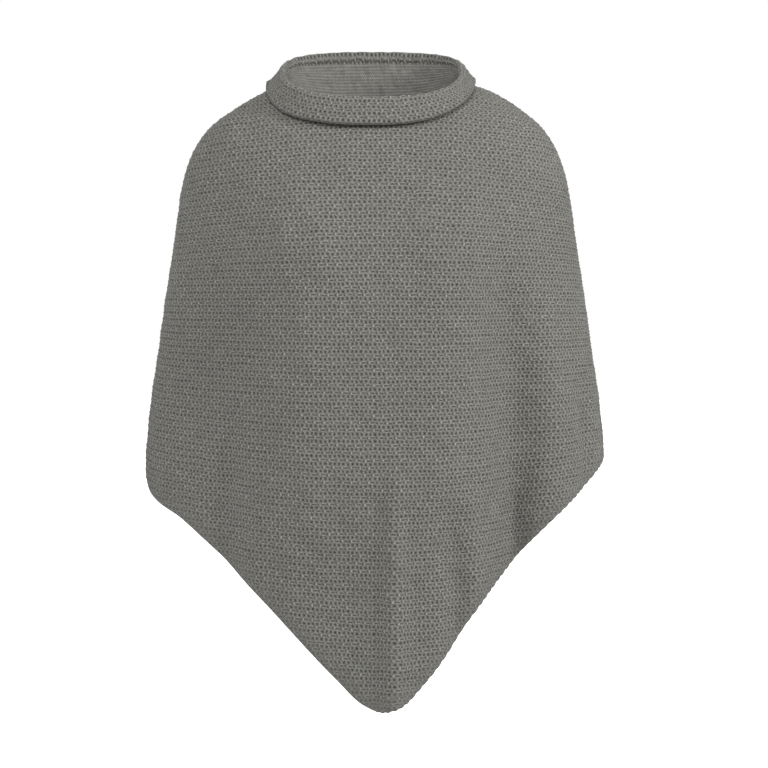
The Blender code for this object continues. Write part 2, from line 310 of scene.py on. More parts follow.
# ---------------------------------------------------------------- from the flat cut to the worn form
def look(table, row_axis, column_axis, row, col):
    """The table's value between its evenly spaced rows and columns, mixed from the four around."""
    r = (row - row_axis[0]) / (row_axis[1] - row_axis[0])
    c = (col - column_axis[0]) / (column_axis[1] - column_axis[0])
    r, c = np.clip(r, 0, len(row_axis) - 1.000001), np.clip(c, 0, len(column_axis) - 1.000001)
    i, j = r.astype(int), c.astype(int)
    s, t = r - i, c - j
    near = table[i, j] * (1 - t) + table[i, j + 1] * t
    far = table[i + 1, j] * (1 - t) + table[i + 1, j + 1] * t
    return near * (1 - s) + far * s


def run(points, axis):
    """Distance along lines of points, from 0."""
    step = np.linalg.norm(np.diff(points, axis=axis), axis=-1)
    total = np.cumsum(step, axis=axis)
    start = np.zeros_like(np.take(total, [0], axis=axis))
    return np.concatenate([start, total], axis=axis)


class FlatCut:
    """One panel's flat cut and where it is worn. u runs across from the middle and v up, both along
    the cloth. A row starts level in the middle and reaches its own height at the side seam, as the
    square of the way out. Each hand, right or left of the middle, has its own tables."""

    def __init__(self, side, row_step):
        self.side = side
        self.heights = np.linspace(-0.80, 0.04, 337)
        self.shares = np.linspace(0, 1, 161)
        self.rows = np.arange(-0.84, 0.14, row_step)
        seam_way = np.linspace(0, 1, 241)
        middle = self.heights + 0 * self.heights
        down_middle = run(section(side, np.full(middle.shape, HALF), middle), 0)
        seam_points = section(side, np.zeros(middle.shape), middle)
        steps = np.diff(run(seam_points, 0))
        upper = ease((self.heights[1:] - SHOULDER_Z + 0.02) / 0.04)
        spacing = SIDE_SHRINK + (SHOULDER_SPREAD - SIDE_SHRINK) * upper
        down_seam = np.concatenate([[0], np.cumsum(steps / spacing)])
        level = [np.interp(LEVEL_Z, self.heights, way) for way in (down_middle, down_seam)]
        self.middle_v = LEVEL_Z + down_middle - level[0]
        self.seam_v = LEVEL_Z + down_seam - level[1]
        heights, across = (column(STRETCH, STRETCH_COLUMNS, name) for name in STRETCH_COLUMNS)
        self.stretch = through(heights, across, self.rows)
        self.way, self.share, self.length, self.out = {}, {}, {}, {}
        self.seam_way = seam_way
        for hand in HAND:
            angle = self.angle(hand, seam_way)
            grid = np.broadcast_arrays(angle[None, :], self.heights[:, None])
            points = section(side, *grid)[:, ::-1]
            way = run(points, 1)
            self.share[hand] = (way / way[:, -1:])[:, ::-1]
            self.way[hand] = np.array([np.interp(self.shares, w / w[-1], seam_way[::-1]) for w in way])
            rows, shares = np.meshgrid(self.rows, self.shares, indexing="ij")
            z = self.row_height(rows, shares)
            across = run(section(side, self.angle(hand, self.to_way(hand, z, shares)), z), 1)
            self.length[hand] = across / self.stretch[:, None]
            self.out[hand] = np.array(
                [np.interp(self.shares, c / c[-1], self.shares) for c in self.length[hand]]
            )
        even = np.linspace(0, np.pi, 1801)
        self.hem = self.flat_line(even - 0.49 * np.sin(2 * even))  # closer together near the seams
        self.neck = self.flat_line(None)

    def angle(self, hand, way):
        """Angle round the body from the way to the seam, which bunches up close to it."""
        near_seam = HALF * way**2
        return near_seam if hand == "right" else np.pi - near_seam

    def to_way(self, hand, z, share):
        return look(self.way[hand], self.heights, self.shares, z, share)

    def row_height(self, v, share):
        middle = np.interp(v, self.middle_v, self.heights)
        seam = np.interp(v, self.seam_v, self.heights)
        return middle + (seam - middle) * share**2

    def width(self, hand, v):
        return np.interp(v, self.rows, self.length[hand][:, -1])

    def worn(self, u, v):
        """Angle and height on the body of the places u and v in the flat cut."""
        angle, z = np.zeros(u.shape), np.zeros(u.shape)
        for hand, sign in HAND.items():
            here = u >= 0 if sign > 0 else u < 0
            wide = np.abs(u[here]) / self.width(hand, v[here])
            share = look(self.out[hand], self.rows, self.shares, v[here], wide)
            z[here] = self.row_height(v[here], share)
            angle[here] = self.angle(hand, self.to_way(hand, z[here], share))
        return angle, z

    def flat(self, angle, z):
        """u and v of places on the body, the row found by halving a range of rows."""
        u, v = np.zeros(angle.shape), np.zeros(angle.shape)
        for hand, sign in HAND.items():
            here = angle <= HALF if sign > 0 else angle > HALF
            from_seam = angle[here] if sign > 0 else np.pi - angle[here]
            way = np.sqrt(from_seam / HALF)
            share = look(self.share[hand], self.heights, self.seam_way, z[here], way)
            low, high = np.full(share.shape, self.rows[0]), np.full(share.shape, self.rows[-1])
            for _ in range(40):
                row = (low + high) / 2
                below = self.row_height(row, share) < z[here]
                low, high = np.where(below, row, low), np.where(below, high, row)
            v[here] = row
            u[here] = sign * look(self.length[hand], self.rows, self.shares, row, share)
        return u, v

    def flat_line(self, angle):
        """The hem at the given angles, or the neckline, as u and v in order across the cut."""
        if angle is None:
            angle, z = neckline(self.side, np.linspace(0, np.pi, 901), WALL / 2 + NECK_GAP)
        else:
            z = hemline(self.side, angle)
        u, v = self.flat(angle, z)
        return np.minimum.accumulate(u)[::-1], v[::-1]

    def clamp(self, u, v):
        """Pulls places that lie outside the cut onto its edge."""
        edge = {}
        for hand, sign in HAND.items():
            end = -1 if sign > 0 else 0
            row = np.clip(v, self.hem[1][end], self.neck[1][end])
            edge[hand] = self.width(hand, row)
        u = np.clip(u, -edge["left"], edge["right"])
        return u, np.clip(v, np.interp(u, *self.hem), np.interp(u, *self.neck))

    def from_edge(self, u, v):
        """Distance of each place from the cut's nearest edge, and from the hem, roughly."""
        side = np.minimum(self.width("right", v) - u, self.width("left", v) + u)
        hem = (v - np.interp(u, *self.hem)) * HEM_SLANT
        neck = (np.interp(u, *self.neck) - v) * NECK_SLANT
        return np.maximum(np.minimum(np.minimum(side, hem), neck), 0), np.maximum(hem, 0)


# ---------------------------------------------------------------- meshes
OUTER_FACE = 0.92  # where the cloth's right side lies in its wall, as a share of its thickness
EDGE_OUTER = 0.62  # and at its edge, where both sides draw together
EDGE_INNER = 0.38
EDGE_ROLL = 0.005  # how far in from the edge the cloth has its whole thickness
CALM_EDGE = 0.03  # how far in the unevenness is whole
PANEL_WAVE = 0.055
# over this distance from the hem the painted shade in the holes and the painted highlight on the yarns
# fade
HEM_FADE = 0.024  # the holes close up towards the hem
SCALLOP_STITCHES = 1.5  # width of one scallop of the right-hand hem
SCALLOP_FADE = 0.004
SCALLOP_DEPTH = 1.6  # as a share of the knit's relief
COLLAR_STITCHES = 126  # round the neck
COLLAR_STEPS = 64  # from the neckline to the free edge
COLLAR_WAVE = 0.021
COLLAR_LUMPS = 0.0007
FREE_ROLL = 0.0020  # how much fuller the rolled free edge is
FREE_ROLL_WAY = 0.965
FREE_ROLL_SPREAD = 0.03
BAND_FADE = 0.02  # how soon the band inside the neck turns plain
HOLE_LINE_SPREAD = 0.011


def squares(index):
    """The faces between the rows and columns of a grid of point numbers."""
    corners = [index[:-1, :-1], index[:-1, 1:], index[1:, 1:], index[1:, :-1]]
    return np.stack(corners, axis=-1).reshape(-1, 4)


def lattice(cut, across, up, step):
    """The stitches inside a cut as u and v, with their faces as index rows of three or four. Places
    outside are pulled onto the edge, equal places become one, and faces that have collapsed go."""
    widest = max(cut.width(hand, cut.rows).max() for hand in HAND)
    count = int(np.ceil(widest / across / step)) + 1
    low = int(np.floor(cut.hem[1].min() / up / step)) - 1
    high = int(np.ceil(cut.neck[1].max() / up / step)) + 1
    i, j = np.arange(-count, count + 1) * step, np.arange(low, high + 1) * step
    u, v = cut.clamp(*np.meshgrid(i * across, j * up))
    keys = np.round(np.stack([u.ravel(), v.ravel()], axis=1) / 2e-5).astype(np.int64)
    _, first, ids = np.unique(keys, axis=0, return_index=True, return_inverse=True)
    ids = ids.reshape(u.shape)
    quads = squares(ids)
    same = quads == np.roll(quads, -1, axis=1)
    whole = quads[~same.any(axis=1)]
    thirds = quads[same.sum(axis=1) == 1]
    keep = ~(thirds == np.roll(thirds, -1, axis=1))
    corners = thirds[keep].reshape(-1, 3)
    corners = corners[(corners != np.roll(corners, -1, axis=1)).all(axis=1)]
    used = np.unique(np.concatenate([whole.ravel(), corners.ravel()]))
    renumber = np.zeros(ids.max() + 1, dtype=np.int64)
    renumber[used] = np.arange(len(used))
    return u.ravel()[first[used]], v.ravel()[first[used]], renumber[whole], renumber[corners]


def edge_loop(quads, corners):
    """The open edge of a patch, in the order in which its faces turn. The chain of edge points that
    is already in order doubles each round, until it holds them all."""
    pairs = [np.stack([f, np.roll(f, -1, axis=1)], axis=-1).reshape(-1, 2) for f in (quads, corners)]
    pairs = np.concatenate(pairs)
    _, which, count = np.unique(
        np.sort(pairs, axis=1), axis=0, return_inverse=True, return_counts=True
    )
    open_pairs = pairs[count[which.ravel()] == 1]
    open_pairs = open_pairs[np.argsort(open_pairs[:, 0])]
    names = open_pairs[:, 0]
    ahead = np.searchsorted(names, open_pairs[:, 1])
    chain = np.array([0])
    while len(chain) < len(names):
        chain = np.concatenate([chain, ahead[chain]])
        ahead = ahead[ahead]
    chain = chain[: len(names)]
    if len(np.unique(chain)) < len(names):
        raise RuntimeError("the cut's edge is in pieces")
    return names[chain]


def zip_edges(outer, inner, points):
    """Triangles that close the gap between two loops. Every outer place is tied to the inner place
    nearest to it, never further back than the one before, and each step on either loop makes one
    triangle with the place that the other loop has reached."""
    inner = np.roll(inner, -np.argmin(np.linalg.norm(points[inner] - points[outer[0]], axis=1)))
    apart = points[outer][:, None] - points[inner][None]
    tied = np.argmin((apart**2).sum(axis=-1), axis=1)
    expected = np.arange(len(outer)) * len(inner) / len(outer)
    tied = np.where(np.abs(tied - expected) > len(inner) / 2, 0, tied)
    tied = np.append(np.maximum.accumulate(tied), len(inner))
    outer, inner = np.append(outer, outer[0]), np.append(inner, inner[0])
    reached = np.searchsorted(tied, np.arange(1, len(inner)))
    on_outer = np.stack([outer[1:], outer[:-1], inner[tied[:-1]]], axis=1)
    on_inner = np.stack([outer[reached], inner[:-1], inner[1:]], axis=1)
    return np.concatenate([on_outer, on_inner])


def stitch_height(u, v, knit):
    """The knit's relief, from -1 in its holes to 1 on its yarns. Rows of a hole at every stitch take
    turns with rows of a long dash at every second stitch, which shift by one stitch each time. Both
    are cosines across, each faded by a cosine up the cut."""
    a, b = u / knit.stitch, v / (2 * knit.row)
    hole_row = np.maximum(np.cos(2 * np.pi * b), 0)
    dash_row = np.maximum(-np.cos(2 * np.pi * b), 0)
    shift = np.mod(np.floor(b), 2)
    return -np.cos(2 * np.pi * a) * hole_row - 0.6 * np.cos(np.pi * (a - 1.5 - shift)) * dash_row


UNEVEN_WAVES = (  # length as a share, direction and start of each wave
    (1.00, 0.3, 0.4),
    (0.71, 1.3, 2.1),
    (0.53, 2.2, 4.4),
    (0.83, 2.8, 1.2),
    (0.42, 0.9, 5.3),
)


def unevenness(u, v, wave):
    """A soft, uneven rise and fall between about -1 and 1: five slanting sines of different lengths,
    each one swaying along the other direction."""
    total = np.zeros(np.broadcast(u, v).shape)
    for share, turn, start in UNEVEN_WAVES:
        along = (u * np.cos(turn) + v * np.sin(turn)) / (wave * share)
        across = (v * np.cos(turn) - u * np.sin(turn)) / (wave * 1.7)
        total += np.sin(2 * np.pi * along + start + 1.2 * np.sin(2 * np.pi * across + start)) * share
    return total / 2.6


def new_mesh(name, points, faces, uv, masks):
    """A closed, smooth mesh with the cut's u and v as its UV map, and its masks as attributes. The
    map is given either for each point or for each corner."""
    mesh = bpy.data.meshes.new(name)
    mesh.from_pydata(points.tolist(), [], [f for part in faces for f in part.tolist()])
    corner = np.empty(len(mesh.loops), dtype=np.int64)
    mesh.loops.foreach_get("vertex_index", corner)
    layer = mesh.uv_layers.new(name="cut")
    corner_uv = uv[corner] if len(uv) == len(points) else uv
    layer.uv.foreach_set("vector", corner_uv.astype(np.float32).ravel())
    for label, values in masks.items():
        mask = mesh.attributes.new(label, "FLOAT", "POINT")
        mask.data.foreach_set("value", values.astype(np.float32))
    mesh.shade_smooth()
    mesh.validate()
    return mesh


def build_panel(name, side, knit):
    """A panel as a closed shell: a fine outer layer with the knit's relief, an inner layer with every
    second stitch and row, and a thin rolled edge that joins them."""
    cut = FlatCut(side, knit.row / 2)
    half, quarter = knit.stitch / 2, knit.row / 2
    layers = []
    for step in (1, 2):
        u, v, quads, corners = lattice(cut, half, quarter, step)
        angle, z = cut.worn(u, v)
        base, normal = section(side, angle, z), outward_normal(side, angle, z)
        edge, hem = cut.from_edge(u, v)
        inside = ease(edge / EDGE_ROLL)[:, None]
        wander = unevenness(u, v, PANEL_WAVE) * ease(edge / CALM_EDGE)
        base = base + normal * knit.uneven * wander[:, None]
        if step == 1:
            height = knit.relief * stitch_height(u, v, knit)[:, None]
            share = EDGE_OUTER + (OUTER_FACE - EDGE_OUTER) * inside
            points = base + normal * (WALL * share + height * inside)
            scallop = np.cos(2 * np.pi * u / (SCALLOP_STITCHES * knit.stitch)) * (u > 0)
            points[:, 2] += knit.relief * SCALLOP_DEPTH * scallop * np.exp(-hem / SCALLOP_FADE)
            outer_hems = ease(1 - hem / HEM_FADE)
        else:
            points = base + normal * WALL * EDGE_INNER * (1 - inside)
        if side == "back":
            quads, corners = quads[:, ::-1], corners[:, ::-1]
        layers.append((points, np.stack([u, v], axis=1), quads, corners))
    (outer, outer_uv, *outer_faces), (inner, inner_uv, *inner_faces) = layers
    points = np.concatenate([outer, inner])
    inner_faces = [f + len(outer) for f in inner_faces]
    rim = zip_edges(edge_loop(*outer_faces), edge_loop(*inner_faces), points)
    faces = [*outer_faces, *(f[:, ::-1] for f in inner_faces), rim]
    none = np.zeros(len(inner))
    masks = {"reverse": np.concatenate([np.zeros(len(outer)), none + 1])}
    masks["near_hem"], masks["hole_line"] = np.concatenate([outer_hems, none]), np.zeros(len(points))
    mesh = new_mesh(name, points, faces, np.concatenate([outer_uv, inner_uv]), masks)
    flat = outer_uv
    area = 0.0
    for f in outer_faces:
        x, y = flat[f][..., 0], flat[f][..., 1]
        area += 0.5 * np.abs((x * np.roll(y, -1, 1) - y * np.roll(x, -1, 1)).sum(1)).sum()
    size = np.ptp(flat, axis=0)
    return add_piece(name, mesh, knit), (float(size[0]), float(size[1])), float(area)


def collar_line(line, turn):
    """A height round the neck: its side heights run evenly from left to right, and a tilt and a bow
    from front to back bring it to its front and back heights."""
    size = dict(zip(LINE_COLUMNS, line))
    rightward, across = collar_plan({"half_width": 1.0, "front": 1.0, "back": 1.0}, turn)
    side_z = size["left_z"] + (size["right_z"] - size["left_z"]) * (1 + rightward) / 2
    lift = (size["back_z"] - size["front_z"]) / 2
    bow = (size["back_z"] + size["front_z"]) / 2 - side_z
    return side_z + lift * across + bow * across**2


def collar_surface(way, turn):
    """The middle of the collar's wall: way 0 at the neckline, 1 at the free edge, at angles turn. Each
    size runs smoothly through its column in the collar's table."""
    knots = np.linspace(0, 1, len(COLLAR))
    sizes = {name: column(COLLAR, COLLAR_COLUMNS, name) for name in COLLAR_COLUMNS[1:4]}
    size = {name: through(knots, values, way) for name, values in sizes.items()}
    rise = np.array([row[-1] if row[0] == "stand" else 1 + row[-1] for row in COLLAR])
    rise = through(knots, rise, way)
    turned = np.mod(turn, 2 * np.pi)
    behind_z, front_z = neckline("back", turn, 0.0)[1], neckline("front", -turn, 0.0)[1]
    seam = np.where(turned < np.pi, behind_z, front_z)
    fold = collar_line(FOLD_LINE, turn)
    sag = LEFT_SAG * np.exp(-(((turned - LEFT_SAG_TURN) / LEFT_SAG_SPREAD) ** 2))
    edge = collar_line(FREE_EDGE, turn) - sag
    one = {"half_width": 1.0, "front": 1.0, "back": 1.0}
    rightward, behind = (np.maximum(part, 0) for part in collar_plan(one, turn))
    edge = edge - BACK_FALL * behind**2
    z = np.where(rise < 1, seam + rise * (fold - seam), fold + (rise - 1) * (edge - fold))
    x, y = collar_plan(size, turn)
    x = x - RIGHT_TUCK * np.maximum(rise - 1, 0) ** 2 * rightward
    return np.stack([COLLAR_MIDDLE_X + x, y, z], axis=-1)


def build_collar(name, knit):
    """The collar as a closed tube wall: out along its right side, round the free edge's roll, and back
    along its reverse, carried round the neck."""
    columns = COLLAR_STITCHES * 3
    dense = np.linspace(0, 2 * np.pi, 2881)
    ring = collar_surface(np.full(dense.shape, 0.45), dense)
    along = run(ring, 0)
    turn = np.interp(np.linspace(0, along[-1], columns + 1), along, dense)[:-1]
    way = np.linspace(0, 1, COLLAR_STEPS + 1)
    grid = np.meshgrid(way, turn, indexing="ij")
    middle = collar_surface(*grid)
    small = 1e-4
    clipped = np.clip(grid[0], small, 1 - small)
    up = collar_surface(clipped + small, grid[1]) - collar_surface(clipped - small, grid[1])
    sideways = collar_surface(grid[0], grid[1] + small) - collar_surface(grid[0], grid[1] - small)
    normal = np.cross(up, sideways)
    normal /= np.linalg.norm(normal, axis=-1, keepdims=True)
    distance = run(middle, 0).mean(axis=1)
    u = np.arange(columns) * knit.stitch / 3
    v = -distance
    uu, vv = np.meshgrid(u, v)
    ends = ease(np.minimum(way, 1 - way) / 0.06)[:, None, None]
    relief = knit.relief * stitch_height(uu, vv, knit)[..., None] * ends
    roll = FREE_ROLL * np.exp(-(((way - FREE_ROLL_WAY) / FREE_ROLL_SPREAD) ** 2))[:, None, None]
    thick = WALL / 2
    shape = 0.55 + 0.45 * ends
    lumps = unevenness(uu, vv, COLLAR_WAVE)[..., None] * COLLAR_LUMPS * ends
    right = middle + normal * (thick * shape + roll + relief + lumps)
    wrong = middle - normal * (thick * shape + roll)
    tangent = up / np.linalg.norm(up, axis=-1, keepdims=True)
    free = middle[-1] + tangent[-1] * thick * 0.7
    base = middle[0] - tangent[0] * thick * 0.2
    points = np.concatenate([right, free[None], wrong[::-1], base[None]])
    rows = len(points)
    v_line = np.concatenate([v, [v[-1] - thick], v[::-1], [thick]])
    index = np.arange(rows * columns).reshape(rows, columns)
    index = np.concatenate([index, index[:, :1]], axis=1)
    index = np.concatenate([index, index[:1]], axis=0)
    quads = squares(index)
    u_line = np.arange(columns + 1) * knit.stitch / 3
    row_uv = np.append(v_line, v_line[0])
    corner_u = np.stack([u_line[:-1], u_line[1:], u_line[1:], u_line[:-1]], axis=-1)
    corner_v = np.stack([row_uv[:-1], row_uv[:-1], row_uv[1:], row_uv[1:]], axis=-1)
    uv = np.stack(np.broadcast_arrays(corner_u[None], corner_v[:, None]), axis=-1)
    reverse = np.concatenate([np.zeros(len(way)), [0.5], np.ones(len(way)), [0.5]])
    reverse[: len(way)] = ease((INNER_BAND - way) / BAND_FADE)  # plain inside the neck, below the band
    hole_line = np.zeros(rows)
    # the line of holes at the band's foot, which the material darkens with painted shade
    hole_line[: len(way)] = np.exp(-(((way - INNER_BAND) / HOLE_LINE_SPREAD) ** 2))
    masks = {"reverse": reverse, "hole_line": hole_line, "near_hem": np.zeros(rows)}
    masks = {label: np.repeat(values, columns) for label, values in masks.items()}
    mesh = new_mesh(name, points.reshape(-1, 3), [quads], uv.astype(np.float32), masks)
    return add_piece(name, mesh, knit), (float(COLLAR_STITCHES * knit.stitch), float(distance[-1]))


def add_piece(name, mesh, knit):
    mesh.materials.append(cloth_material(knit))
    piece = bpy.data.objects.new(name, mesh)
    bpy.context.scene.collection.objects.link(piece)
    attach(piece, "root")
    return piece


# ---------------------------------------------------------------- node helpers
class Wires:
    """Short ways to add and join nodes in one tree."""

    def __init__(self, tree):
        self.tree = tree

    def node(self, kind, **settings):
        node = self.tree.nodes.new(kind)
        for name, value in settings.items():
            setattr(node, name, value)
        return node

    def join(self, value, socket):
        if isinstance(value, bpy.types.NodeSocket):
            self.tree.links.new(value, socket)
        else:
            socket.default_value = value

    def separate(self, vector):
        node = self.node("ShaderNodeSeparateXYZ")
        self.join(vector, node.inputs[0])
        return node.outputs

    def math(self, operation, *values):
        node = self.node("ShaderNodeMath", operation=operation)
        for value, socket in zip(values, node.inputs):
            self.join(value, socket)
        return node.outputs[0]

    def times(self, one, two):
        return self.math("MULTIPLY", one, two)

    def plus(self, one, two):
        return self.math("ADD", one, two)

    def minus(self, one, two):
        return self.math("SUBTRACT", one, two)

    def fade(self, value, near, far):
        """1 below near, 0 above far, eased between."""
        node = self.node("ShaderNodeMapRange", interpolation_type="SMOOTHSTEP")
        ends = {"Value": value, "From Min": near, "From Max": far, "To Min": 1.0, "To Max": 0.0}
        for name, amount in ends.items():
            self.join(amount, node.inputs[name])
        return node.outputs["Result"]

    def from_whole(self, value):
        """Distance from the nearest whole number, with its sign."""
        return self.minus(value, self.math("ROUND", value))

    def noise(self, vector, scale, detail=2.0, rough=0.5, output="Fac"):
        node = self.node("ShaderNodeTexNoise")
        self.join(vector, node.inputs["Vector"])
        for name, amount in (("Scale", scale), ("Detail", detail), ("Roughness", rough)):
            node.inputs[name].default_value = amount
        return node.outputs[output]

    def vector(self, operation, one, two):
        node = self.node("ShaderNodeVectorMath", operation=operation)
        self.join(one, node.inputs[0])
        self.join(two, node.inputs["Scale" if operation == "SCALE" else 1])
        return node.outputs[0]

    def sway(self, vector, scale, reach):
        """The vector moved to and fro by a noise, by up to half the reach."""
        centred = self.vector("SUBTRACT", self.noise(vector, scale, 1.0, output="Color"), (0.5,) * 3)
        return self.vector("ADD", vector, self.vector("SCALE", centred, reach))

    def mix(self, share, one, two):
        node = self.node("ShaderNodeMix", data_type="RGBA")
        self.join(share, node.inputs[0])
        self.join(one, node.inputs[6])
        self.join(two, node.inputs[7])
        return node.outputs[2]


def new_group(name, inputs, outputs):
    """A shader node group and its input and output nodes: the input Cut or Place is a vector, and
    every other input and output is a float."""
    tree = bpy.data.node_groups.new(name, "ShaderNodeTree")
    for way, labels in (("INPUT", inputs), ("OUTPUT", outputs)):
        for label in labels:
            kind = "NodeSocketVector" if label in ("Cut", "Place") else "NodeSocketFloat"
            tree.interface.new_socket(name=label, in_out=way, socket_type=kind)
    wires = Wires(tree)
    return tree, wires, wires.node("NodeGroupInput"), wires.node("NodeGroupOutput")


def tuck_stitch_group():
    """The knit's right side, from the cut's u and v. Along every second row a round hole stands at
    each stitch. Along the rows between, two stitches hold a small hole, an upright loop and a long
    dash with a float above and below it, and this repeat shifts by one stitch from row to row. The
    places sway a little, and each hole and each loop has its own strength."""
    tree, w, start, end = new_group(
        "tuck_stitch", ["Cut", "Stitch", "Row"], ["Holes", "Yarns", "Height"]
    )
    cut, stitch, row = (start.outputs[name] for name in ("Cut", "Stitch", "Row"))
    moved = w.sway(w.sway(cut, 70.0, 0.0034), 260.0, 0.0015)
    across, along = w.separate(moved)[:2]
    tall = w.times(row, 2.0)
    a = w.math("DIVIDE", across, stitch)
    b = w.math("DIVIDE", along, tall)

    def oval(x, y, x_size, y_size, soft=0.35):
        """1 in the middle of an oval spot, 0 outside it."""
        x, y = w.math("DIVIDE", x, x_size), w.math("DIVIDE", y, y_size)
        far = w.math("SQRT", w.plus(w.times(x, x), w.times(y, y)))
        return w.fade(far, soft, 1.0 + 1.5 * soft)

    def own_strength(x, y, least):
        """A steady random number for each cell, from least to 1."""
        cell = w.node("ShaderNodeCombineXYZ")
        w.join(w.math("FLOOR", x), cell.inputs[0])
        w.join(w.math("FLOOR", y), cell.inputs[1])
        random = w.node("ShaderNodeTexWhiteNoise", noise_dimensions="2D")
        w.join(cell.outputs[0], random.inputs["Vector"])
        return w.plus(least, w.times(random.outputs["Value"], 1.0 - least))

    hole_x, hole_y = w.times(w.from_whole(a), stitch), w.times(w.from_whole(b), tall)
    # round holes: they shape the bump and are also where painted shade goes into the colour
    hole_shade = oval(hole_x, hole_y, 0.00125, 0.00130)
    hole_shade = w.times(hole_shade, own_strength(w.plus(a, 0.5), w.plus(b, 0.5), 0.72))
    leg = oval(w.times(w.from_whole(w.plus(a, 0.5)), stitch), hole_y, 0.00070, 0.00200)

    band = w.math("FLOOR", b)
    turn = w.math("FLOORED_MODULO", band, 2.0)
    pair = w.times(w.minus(a, turn), 0.5)
    two = w.times(stitch, 2.0)
    up = w.times(w.minus(w.minus(b, band), 0.5), tall)

    def at_stitch(place):
        return w.times(w.from_whole(w.minus(pair, place / 2)), two)

    strength = own_strength(w.plus(pair, 0.25), w.plus(band, 0.5), 0.6)
    dash = oval(at_stitch(1.5), up, 0.00205, 0.00060)
    small = oval(at_stitch(0.33), up, 0.00085, 0.00110)
    loop = oval(at_stitch(0.80), up, 0.00085, 0.00190)
    beside_dash = w.minus(w.math("ABSOLUTE", up), 0.00175)
    floats = oval(at_stitch(1.5), beside_dash, 0.00210, 0.00060)
    # painted highlight: faint slanted light strokes, where oblique light catches the relief
    highlight_slant = w.plus(at_stitch(0.02), w.times(up, 0.5))
    lean = oval(highlight_slant, w.minus(w.math("ABSOLUTE", up), 0.0016), 0.0007, 0.0015)

    low = w.math("MAXIMUM", w.times(dash, 0.85), w.times(small, 0.95))
    holes = w.math("MAXIMUM", hole_shade, w.times(low, strength))
    # raised loops and floats: they shape the bump and also get a painted highlight in the colour
    raised_highlight = w.math("MAXIMUM", loop, w.times(floats, 0.75))
    raised_highlight = w.math("MAXIMUM", w.times(raised_highlight, strength), w.times(lean, 0.35))
    yarns = w.math("MAXIMUM", w.times(leg, 0.45), raised_highlight)
    ply = w.noise(moved, 1500.0, 1.0)
    height = w.plus(w.minus(yarns, holes), w.times(ply, 0.5))
    # Holes also sets where painted shade goes into the colour, and Yarns where a painted highlight goes
    for value, name in ((holes, "Holes"), (yarns, "Yarns"), (height, "Height")):
        w.join(value, end.inputs[name])
    return tree


def plain_back_group():
    """The knit's reverse, from the cut's u and v: close rows of small curved bumps."""
    tree, w, start, end = new_group("plain_back", ["Cut", "Stitch", "Row"], ["Grooves", "Height"])
    across, along = w.separate(start.outputs["Cut"])[:2]
    a = w.times(w.math("DIVIDE", across, start.outputs["Stitch"]), 2.0)
    wave = w.times(w.math("SINE", w.times(a, 2 * np.pi)), 0.16)
    b = w.plus(w.math("DIVIDE", along, w.times(start.outputs["Row"], 0.5)), wave)
    # the grooves shape the bump and are also darkened with painted shade in the colour
    groove = w.fade(w.math("ABSOLUTE", w.from_whole(b)), 0.05, 0.40)
    rough = w.noise(start.outputs["Cut"], 1100.0, 2.0)
    height = w.minus(w.times(rough, 0.6), groove)
    w.join(groove, end.inputs["Grooves"])
    w.join(height, end.inputs["Height"])
    return tree


def heather_group():
    """Flecks and slow drifts of a spun, mixed yarn, from object coordinates, about 0 each way."""
    tree, w, start, end = new_group("heather", ["Place", "Cut"], ["Fleck", "Drift"])
    fine = w.noise(start.outputs["Cut"], 620.0, 3.0, 0.65)
    streak = w.node("ShaderNodeMapping")
    streak.inputs["Scale"].default_value = (70.0, 420.0, 1.0)
    w.join(start.outputs["Cut"], streak.inputs["Vector"])
    rows = w.noise(streak.outputs[0], 1.0, 2.0)
    fleck = w.plus(w.minus(fine, 0.5), w.times(w.minus(rows, 0.5), 0.7))
    drift = w.minus(w.noise(start.outputs["Place"], 7.0, 2.0), 0.5)
    w.join(fleck, end.inputs["Fleck"])
    w.join(drift, end.inputs["Drift"])
    return tree


